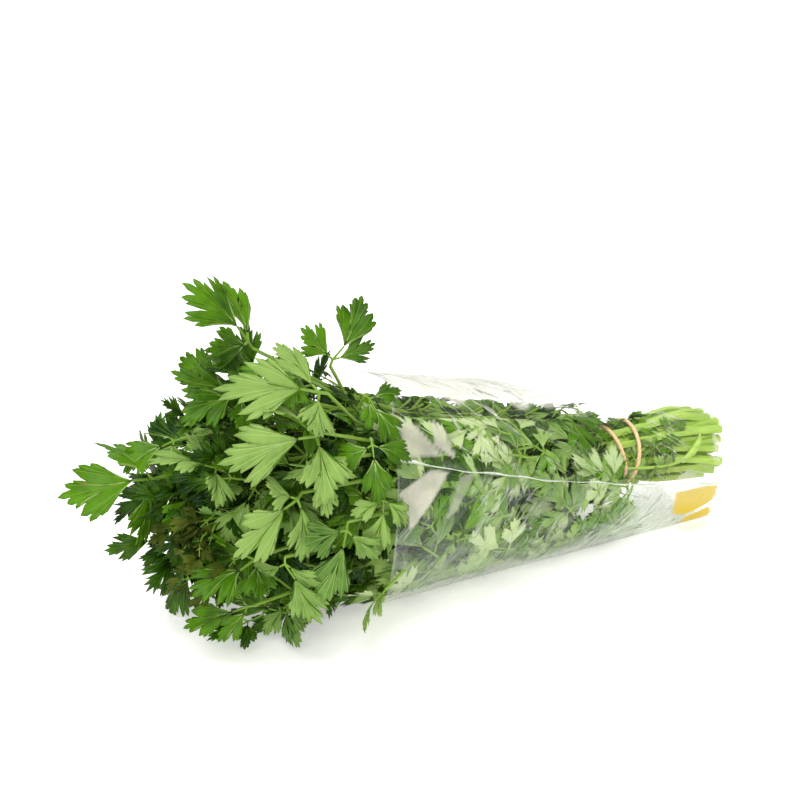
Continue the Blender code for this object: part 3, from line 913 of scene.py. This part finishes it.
def milk_and_highlights(place, angle, crest_highlights):
    """How milky the film looks: hazy low down and along the top, and white on its crests, where a painted
    highlight stands in for light off them.
    """
    depth = seam_depth(place, angle)
    below = smoothstep(-0.03, 0.05, depth)
    milk = 0.002 + 0.03 * below + 0.34 * smoothstep(0.50, 1.25, depth)
    milk += below * 0.45 * smoothstep(-0.10, 0.20, depth - 2.25 + 3.0 * place)
    ridge = 1.20 - 0.10 * place + 0.04 * np.sin(place * 31) + 0.03 * np.sin(place * 67)
    top = smoothstep(ridge - 0.03, ridge + 0.03, angle) * (1 - smoothstep(1.60, 2.05, angle))
    milk += 0.80 * top * (1 - smoothstep(0.36, 0.62, place))
    # Painted highlights on the creases' crests.
    return np.clip(milk + 0.45 * crest_highlights, 0, 1)


def yellow_print(t, angle):
    """A plain yellow band printed below the seam at the stem end, with a clear stripe slanting through it."""
    depth = SEAM_ANGLE_END - angle
    start = 0.835 + 0.05 * smoothstep(0.4, 0.6, depth)
    band = smoothstep(start, start + 0.015, t) * (1 - smoothstep(0.985, 0.995, t + 0.01 * np.sin(angle * 9)))
    low = smoothstep(0.0, 0.04, depth) * (1 - smoothstep(0.92, 1.02, depth))
    stripe = np.abs(depth - 0.54 + 2.6 * (t - 0.93))
    paler = 0.93 + 0.07 * smoothstep(0.2, 0.5, depth)
    return band * low * smoothstep(0.045, 0.07, stripe) * paler


def film_point(t, angle):
    """Points of the sleeve without its creases."""
    half_width, centre, half_height = sleeve_section(t)
    mouth, end = film_lean(angle)
    x = (t - 0.5) * SLEEVE_LENGTH - mouth * (1 - t) - end * t
    rise = TOP_RISE * smoothstep(0.75, 1.0, np.sin(angle)) * (1 - smoothstep(0.30, 0.62, t))
    z = centre + half_height * np.sin(angle) + rise
    return np.stack([x, -half_width * np.cos(angle), np.maximum(z, 0)], axis=-1)


def outward(angle):
    """The way out through the film, square to the sleeve's length."""
    return np.stack([np.zeros_like(angle), -np.cos(angle), np.sin(angle)], axis=-1)


def creases(t, angle, rng):
    """How far creases lift the film, and the painted highlights along their crests. They are short tents that
    mostly slant to the tie.
    """
    run, girth = t * SLEEVE_LENGTH, angle * GIRTH_RADIUS
    height, crest_highlights = np.zeros_like(t), np.zeros_like(t)
    for index in range(CREASES):
        dx = run - rng.uniform(0, SLEEVE_LENGTH)
        dy = girth - rng.uniform(-math.pi / 2, 1.5 * math.pi) * GIRTH_RADIUS
        way = rng.normal(-0.6, 0.4)
        length = rng.uniform(0.010, 0.045)
        width = rng.uniform(0.003, 0.012)
        ahead, aside = spun(dx, dy, -way)
        along = np.exp(-((ahead / length) ** 2))
        aside = np.abs(aside)
        height += rng.uniform(-0.0008, 0.0012) * np.maximum(0, 1 - aside / width) * along * width / 0.008
        # Every third crease gets a painted highlight along its crest.
        if index % 3 == 0:
            crest_highlights = np.maximum(crest_highlights, along * np.maximum(0, 1 - aside / 0.0011) * rng.uniform(0.3, 1.0))
    return height, crest_highlights


def build_film():
    """The sleeve, with creases in its mesh and its stem end cut into teeth."""
    lines = np.linspace(-math.pi / 2, 1.5 * math.pi, FILM_COLUMNS, endpoint=False)
    t, angle = np.meshgrid(np.linspace(0, 1, FILM_ROWS), lines, indexing="ij")
    points = film_point(t, angle)
    place = points[..., 0] / SLEEVE_LENGTH + 0.5
    lift, crest_highlights = creases(t, angle, np.random.default_rng(7))
    lift = np.clip(lift, -0.0012, 0.0016) * smoothstep(-1.0, -0.6, np.sin(angle))
    points += outward(angle) * lift[..., None]
    half_tooth = CUT_TOOTH_COLUMNS / 2
    points[-1, :, 0] -= np.abs(np.arange(FILM_COLUMNS) % CUT_TOOTH_COLUMNS / half_tooth - 1) * CUT_TOOTH
    points[..., 2] = np.maximum(points[..., 2], FILM_FLOOR_GAP)
    # A painted highlight along the mouth's rim. The milk attribute carries it with the crests' painted
    # highlights.
    rim = 0.45 * (1 - smoothstep(0.004, 0.010, t))
    looks = {
        "milk": np.maximum(milk_and_highlights(place, angle, crest_highlights), rim),
        "painted_glare": painted_glare(place, angle),
        "below": smoothstep(-0.02, 0.02, seam_depth(place, angle)),
        "print": yellow_print(t, angle),
        "run": t * SLEEVE_LENGTH,
        "girth": angle * GIRTH_RADIUS,
    }
    faces = ring_faces(np.arange(t.size).reshape(t.shape)).tolist()
    mesh = new_mesh("film", points, faces, looks)
    add_piece("film_sleeve", mesh, [FILM], "film", "sleeve")


def build_seams():
    """The two welded seams: narrow fins of doubled film that stand out from the sleeve's sides."""
    t = np.linspace(0, 1, FIN_ROWS)
    width = FIN_WIDTH + 0.0004 * np.sin(t * 31)
    wave = 0.0007 * np.sin(t * 23 + 1) + 0.0004 * np.sin(t * 57)
    droop = np.outer(wave, (0, 0, 1))
    for name, turn in (("near", 0.0), ("far", math.pi)):
        seam = seam_angle(t) + turn
        root = film_point(t, seam)
        out = outward(seam)
        rim = root + out * width[:, None] + droop
        points = np.stack([root - out * 0.0003, (root + rim) / 2 + droop * 0.3, rim], axis=1)
        faces = grid_faces(np.arange(FIN_ROWS * 3).reshape(FIN_ROWS, 3)).tolist()
        mesh = new_mesh(f"seam_{name}", points, faces, {})
        thicken(add_piece(f"film_seam_{name}", mesh, [SEAM], "film"), FIN_THICKNESS, 0)


# --- Rubber band ---


def build_band():
    """One closed strand that goes twice round the stems, with its two turns side by side."""
    low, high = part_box("rubber_band")
    centre = (np.array(low) + np.array(high)) / 2
    turn = np.linspace(0, 2 * math.tau, STRAND_STEPS, endpoint=False)
    half = (turn - math.radians(60)) / 2
    out = (high[2] - low[2]) / 2 - BAND_INSET + 0.0008 * np.sin(half)
    path = np.stack([BAND_SLANT * np.cos(half), out * np.cos(turn), out * np.sin(turn)], axis=-1) + centre
    strand = Stalks()
    strand.add(np.vstack([path, path[:2]]), STRAND_RADIUS, STRAND_SIDES)
    mesh = new_mesh("band", strand.points, strand.faces, {"reach": strand.reaches})
    add_piece("rubber_band_twice_round", mesh, [RUBBER], "rubber", "rubber_band")


# --- Materials ---


class Nodes:
    """Shader nodes by short calls. A value may be a socket of another node or a plain number or colour."""

    def __init__(self, name):
        self.material = bpy.data.materials.new(name)
        self.material.use_nodes = True
        self.tree = self.material.node_tree
        self.tree.nodes.clear()

    def put(self, socket, value):
        if isinstance(value, bpy.types.NodeSocket):
            self.tree.links.new(value, socket)
        elif value is not None:
            socket.default_value = value

    def add(self, kind, settings=None, **values):
        """A new node, with settings, and values for its inputs by name."""
        node = self.tree.nodes.new("ShaderNode" + kind)
        for key, value in (settings or {}).items():
            setattr(node, key, value)
        for key, value in values.items():
            self.put(node.inputs[key.replace("_", " ")], value)
        return node

    def filled(self, kind, settings, *values):
        """The output of a new node, with values for its inputs in their order."""
        node = self.add(kind, settings)
        for socket, value in zip(node.inputs, values):
            self.put(socket, value)
        return node.outputs[0]

    def attribute(self, name):
        return self.add("Attribute", {"attribute_name": name}).outputs["Fac"]

    def place(self):
        return self.add("TexCoord").outputs["Object"]

    def noise(self, vector, scale, detail=3.0, roughness=0.5):
        node = self.add("TexNoise", Vector=vector, Scale=scale, Detail=detail, Roughness=roughness)
        return node.outputs["Fac"]

    def math(self, operation, a, b):
        return self.filled("Math", {"operation": operation}, a, b)

    def plus(self, a, b):
        return self.math("ADD", a, b)

    def times(self, a, b):
        return self.math("MULTIPLY", a, b)

    def away(self, value, level):
        """How far a value is from a level, on either side."""
        return self.math("ABSOLUTE", self.math("SUBTRACT", value, level), 0.5)

    def ramp(self, value, low, high, to_low=0.0, to_high=1.0, smooth=True):
        kind = {"interpolation_type": "SMOOTHSTEP" if smooth else "LINEAR"}
        return self.filled("MapRange", kind, value, low, high, to_low, to_high)

    def mix(self, factor, a, b):
        node = self.add("Mix", {"data_type": "RGBA"})
        self.put(node.inputs["Factor"], factor)
        self.put(node.inputs[6], a)
        self.put(node.inputs[7], b)
        return node.outputs[2]

    def bump(self, height, distance, strength):
        return self.add("Bump", Height=height, Distance=distance, Strength=strength).outputs[0]

    def blend(self, factor, a, b):
        return self.filled("MixShader", {}, factor, a, b)

    def skin(self, colour, roughness, normal=None, **values):
        node = self.add("BsdfPrincipled", Base_Color=colour, Roughness=roughness, Normal=normal, **values)
        return node.outputs[0]

    def lit_through(self, colour, normal=None):
        return self.add("BsdfTranslucent", Color=colour, Normal=normal).outputs[0]

    def clear(self, colour):
        return self.add("BsdfTransparent", Color=colour).outputs[0]

    def finish(self, surface):
        self.add("OutputMaterial", Surface=surface)
        return self.material


def vein_mask(n, width_base, width_tip):
    """1 on a leaflet's veins and 0 between them. A vein narrows from the leaflet's foot to its teeth."""
    width = n.ramp(n.attribute("reach"), 0.0, 1.0, width_base, width_tip, smooth=False)
    return n.ramp(n.math("DIVIDE", n.attribute("vein"), width), 0.0, 1.0, 1.0, 0.0)


def leaf_material(name, dark, bright, vein, roughness, specular, through, vein_lift):
    """A leaf's side: mottled, brighter or darker by its tone and painted shade, veined, finely grained and
    with a few brown specks.
    """
    n = Nodes(name)
    place = n.place()
    mottle = n.noise(place, 160.0, 4.0)
    cloud = n.noise(place, 28.0, 2.0)
    veins = vein_mask(n, 0.016, 0.007)
    shade = n.plus(n.ramp(cloud, 0.3, 0.7, -0.30, 0.30), n.attribute("tint"))
    shade = n.plus(shade, n.ramp(mottle, 0.3, 0.7, -0.16, 0.16))
    blade = n.mix(n.ramp(shade, -0.5, 1.0), dark, bright)
    blade = n.mix(n.ramp(shade, 1.2, 2.4, 0.0, 0.75), blade, PALEST_LEAF)
    colour = n.mix(n.times(veins, 0.75), blade, vein)
    specks = n.ramp(n.noise(place, 210.0, 1.0), 0.765, 0.79, 0.0, 0.6)
    colour = n.mix(specks, colour, SPECK)
    cells = n.add("TexVoronoi", Vector=place, Scale=900.0).outputs["Distance"]
    relief = n.plus(n.times(veins, vein_lift), n.times(cells, 0.35))
    relief = n.plus(relief, n.times(mottle, 0.8))
    normal = n.bump(relief, 0.0004, 0.5)
    skin = n.skin(colour, roughness, normal, Specular_IOR_Level=specular)
    glow = n.lit_through(n.mix(veins, through, vein), normal)
    return n.finish(n.blend(0.18, skin, glow))


def stalk_material(name, colour_low, colour_high):
    """Streaked along the stalk, and one colour at its foot and another at its tip."""
    n = Nodes(name)
    mapping = n.add("Mapping", Vector=n.place(), Scale=(12.0, 400.0, 400.0))
    streak = n.noise(mapping.outputs[0], 1.0)
    base = n.mix(n.attribute("reach"), colour_low, colour_high)
    colour = n.mix(n.ramp(streak, 0.35, 0.7, 0.0, 0.45), base, STALK_STREAK)
    skin = n.skin(colour, 0.38, n.bump(streak, 0.0004, 0.6))
    return n.finish(n.blend(0.15, skin, n.lit_through(STALK_GLOW)))


def slanted(n, degrees):
    """Places on the film squeezed so that noise makes long streaks, which rise towards the stem end."""
    flat = n.add("CombineXYZ", X=n.attribute("run"), Y=n.attribute("girth")).outputs[0]
    looks = {"Rotation": (0.0, 0.0, math.radians(degrees)), "Scale": (0.070, 0.011, 1.0)}
    return n.add("Mapping", {"vector_type": "TEXTURE"}, Vector=flat, **looks).outputs[0]


def film_haze(n, place, way, below, cloud, streaks):
    """How milky the film is, from 0 to 1: in painted highlight streaks, thin lines of painted highlight and
    pressed patches, with clear gaps, and in painted glare on its facets.
    """
    # Painted highlights: bright slanting streaks, and thin bright lines in patches.
    painted_highlight_streaks = n.ramp(streaks, 0.61, 0.67, 0.0, 0.40)
    patches = n.ramp(n.noise(place, 26.0, 1.0), 0.45, 0.62)
    edge = n.away(n.noise(way, 1.7, 2.0, 0.4), 0.5)
    lines = n.times(n.ramp(edge, 0.0, 0.020, 0.55, 0.0), patches)
    gaps = n.away(n.noise(way, 2.6, 2.0, 0.4), 0.47)
    # The milk attribute holds the painted crest and rim highlights as well as the milkiness.
    haze = n.times(n.attribute("milk"), cloud)
    haze = n.times(haze, n.ramp(gaps, 0.0, 0.028, 0.35, 1.0))
    most = n.ramp(below, 0.0, 1.0, 0.02, 0.10)
    pressed = n.ramp(n.noise(way, 0.9, 2.0), 0.50, 0.55, 0.0, most)
    haze = n.plus(n.plus(haze, pressed), n.plus(painted_highlight_streaks, lines))
    haze = n.math("MINIMUM", haze, 0.95)
    # Painted glare on the film's flat facets.
    haze = n.math("MAXIMUM", haze, n.times(n.attribute("painted_glare"), cloud))
    return n.math("MAXIMUM", haze, n.attribute("print"))


def film_colour(n, place, way, below):
    """The milky film's colour: white above the seams, greyer below, dark in folds as painted shade, beige
    white on its facets as painted glare, and yellow in the print.
    """
    # Painted shade: dark lines along the folds.
    grouped = n.ramp(n.noise(place, 34.0, 1.0), 0.50, 0.60)
    painted_fold_shade = n.away(n.noise(way, 1.5, 2.0, 0.4), 0.52)
    painted_fold_shade = n.times(n.ramp(painted_fold_shade, 0.0, 0.030, 0.85, 0.0), grouped)
    colour = n.mix(below, srgb(248, 244, 234), srgb(224, 229, 220))
    colour = n.mix(painted_fold_shade, colour, srgb(110, 116, 110))
    # Painted glare: the facets that throw back the light are painted beige white.
    colour = n.mix(n.ramp(n.attribute("painted_glare"), 0.30, 0.55), colour, srgb(238, 232, 218))
    return n.mix(n.attribute("print"), colour, PRINT_YELLOW)


def film_material():
    """Clear film: it shows what is behind it, shines more at a slant, and is milky where it is creased, with
    painted highlights on its crests and streaks, painted shade in its folds and painted glare on its flat
    facets.
    """
    n = Nodes("clear_film")
    place = n.place()
    below = n.attribute("below")
    way = n.mix(below, slanted(n, -38), slanted(n, 52))
    streaks = n.noise(way, 1.0, 5.0, 0.6)
    fine = n.noise(place, 380.0)
    normal = n.bump(n.plus(streaks, n.times(fine, 0.08)), 0.0006, 0.3)
    slant = n.add("LayerWeight", Blend=0.5, Normal=normal).outputs["Facing"]
    shine = n.ramp(n.math("POWER", slant, 4.5), 0.0, 1.0, 0.007, 0.4, smooth=False)
    gloss = n.add("BsdfGlossy", Color=(1, 1, 1, 1), Roughness=0.10, Normal=normal).outputs[0]
    glassy = n.blend(shine, n.clear((0.995, 0.998, 0.995, 1.0)), gloss)
    cloud = n.ramp(n.noise(place, 70.0, 4.0), 0.3, 0.7, 0.74, 1.08)
    haze = film_haze(n, place, way, below, cloud, streaks)
    colour = film_colour(n, place, way, below)
    milky = n.blend(0.45, n.skin(colour, 0.3), n.lit_through(colour))
    return n.finish(n.blend(haze, glassy, milky))


def seam_material():
    n = Nodes("film_seam")
    pressed = n.ramp(n.noise(n.place(), 260.0, 2.0), 0.3, 0.7, 0.45, 0.9)
    milky = n.skin(srgb(235, 238, 228), 0.25)
    return n.finish(n.blend(pressed, n.clear((0.95, 0.96, 0.94, 1.0)), milky))


def rubber_material():
    n = Nodes("tan_rubber")
    grain = n.noise(n.place(), 1500.0, 4.0)
    colour = n.mix(n.ramp(grain, 0.35, 0.65), srgb(216, 172, 118), srgb(242, 210, 164))
    return n.finish(n.skin(colour, 0.62, n.bump(grain, 0.0004, 0.8)))


def floor_material():
    n = Nodes("pale_floor")
    grain = n.noise(n.place(), 60.0, 2.0)
    colour = n.mix(n.ramp(grain, 0.3, 0.7), srgb(243, 242, 238), srgb(246, 245, 242))
    glow = {"Emission_Color": (1.0, 1.0, 0.98, 1.0), "Emission_Strength": 0.35}
    return n.finish(n.skin(colour, 0.6, **glow))


PALEST_LEAF = srgb(206, 222, 166)
SPECK = srgb(150, 96, 40)
STALK_STREAK = srgb(120, 160, 55)
STALK_GLOW = srgb(190, 215, 110)
CUT_COLOUR = srgb(214, 226, 160)
PRINT_YELLOW = srgb(226, 192, 6)

# Each side of a leaf: its dark, bright and vein colours, roughness, gloss, colour lit through and vein lift.
LEAF_TOP = leaf_material(
    "leaf_upper_side", srgb(14, 48, 3), srgb(90, 140, 14), srgb(128, 166, 54),
    0.36, 0.16, srgb(104, 168, 4), -0.3,
)
LEAF_UNDER = leaf_material(
    "leaf_underside", srgb(78, 118, 42), srgb(142, 174, 88), srgb(184, 208, 134),
    0.6, 0.12, srgb(122, 175, 40), 0.25,
)
LEAF_WILTED = leaf_material(
    "leaf_wilted", srgb(22, 46, 6), srgb(96, 108, 30), srgb(120, 126, 50),
    0.6, 0.10, srgb(90, 130, 16), 0.3,
)
STALK_SKIN = stalk_material("stalk_skin", srgb(176, 208, 88), srgb(116, 156, 44))
CUT_END = stalk_material("cut_end", CUT_COLOUR, CUT_COLOUR)
FILM = film_material()
SEAM = seam_material()
RUBBER = rubber_material()


# --- Camera, floor and light ---


def add_camera():
    data = bpy.data.cameras.new("camera")
    data.sensor_width = 36.0
    data.angle = VIEW_ANGLE
    camera = new_object("camera", data)
    camera.rotation_euler = (math.pi / 2 - VIEW_ELEVATION, 0.0, VIEW_AZIMUTH)
    back = camera.rotation_euler.to_matrix() @ Vector((0, 0, VIEW_DISTANCE))
    camera.location = Vector(VIEW_TARGET) + back
    bpy.context.scene.camera = camera


def add_floor():
    mesh = bpy.data.meshes.new("floor")
    mesh.from_pydata([(-6, -6, 0), (6, -6, 0), (6, 6, 0), (-6, 6, 0)], [], [(0, 1, 2, 3)])
    mesh.materials.append(floor_material())
    floor = new_object("floor", mesh)
    floor.location.z = -0.0002


def add_sun(name, way, strength):
    data = bpy.data.lights.new(name, "SUN")
    data.energy = strength
    data.angle = SUN_SPREAD
    new_object(name, data).rotation_euler = Vector(way).to_track_quat("-Z", "Y").to_euler()


def add_lights():
    """A white studio, whose surroundings look white but light softly, and three wide lamps."""
    world = bpy.data.worlds.new("studio")
    world.use_nodes = True
    tree = world.node_tree
    seen = tree.nodes.new("ShaderNodeLightPath").outputs["Is Camera Ray"]
    strength = tree.nodes.new("ShaderNodeMapRange")
    strength.inputs["To Min"].default_value = 0.42
    strength.inputs["To Max"].default_value = 1.1
    tree.links.new(seen, strength.inputs["Value"])
    tree.links.new(strength.outputs[0], tree.nodes["Background"].inputs["Strength"])
    tree.nodes["Background"].inputs["Color"].default_value = (1.0, 1.0, 1.0, 1.0)
    bpy.context.scene.world = world
    add_sun("top", (0.20, 0.05, -1.0), 2.0)
    add_sun("front", (0.45, 0.75, -0.55), 2.0)
    add_sun("back", (-0.35, -0.60, -0.75), 0.6)
    bpy.context.scene.view_settings.view_transform = "Standard"


for sprig in SPRIGS:
    build_sprig(sprig)
for filler in FILLERS:
    build_fillers(*filler)
build_tie_leaves()
build_extra_stems()
build_film()
build_seams()
build_band()
add_camera()
add_floor()
add_lights()
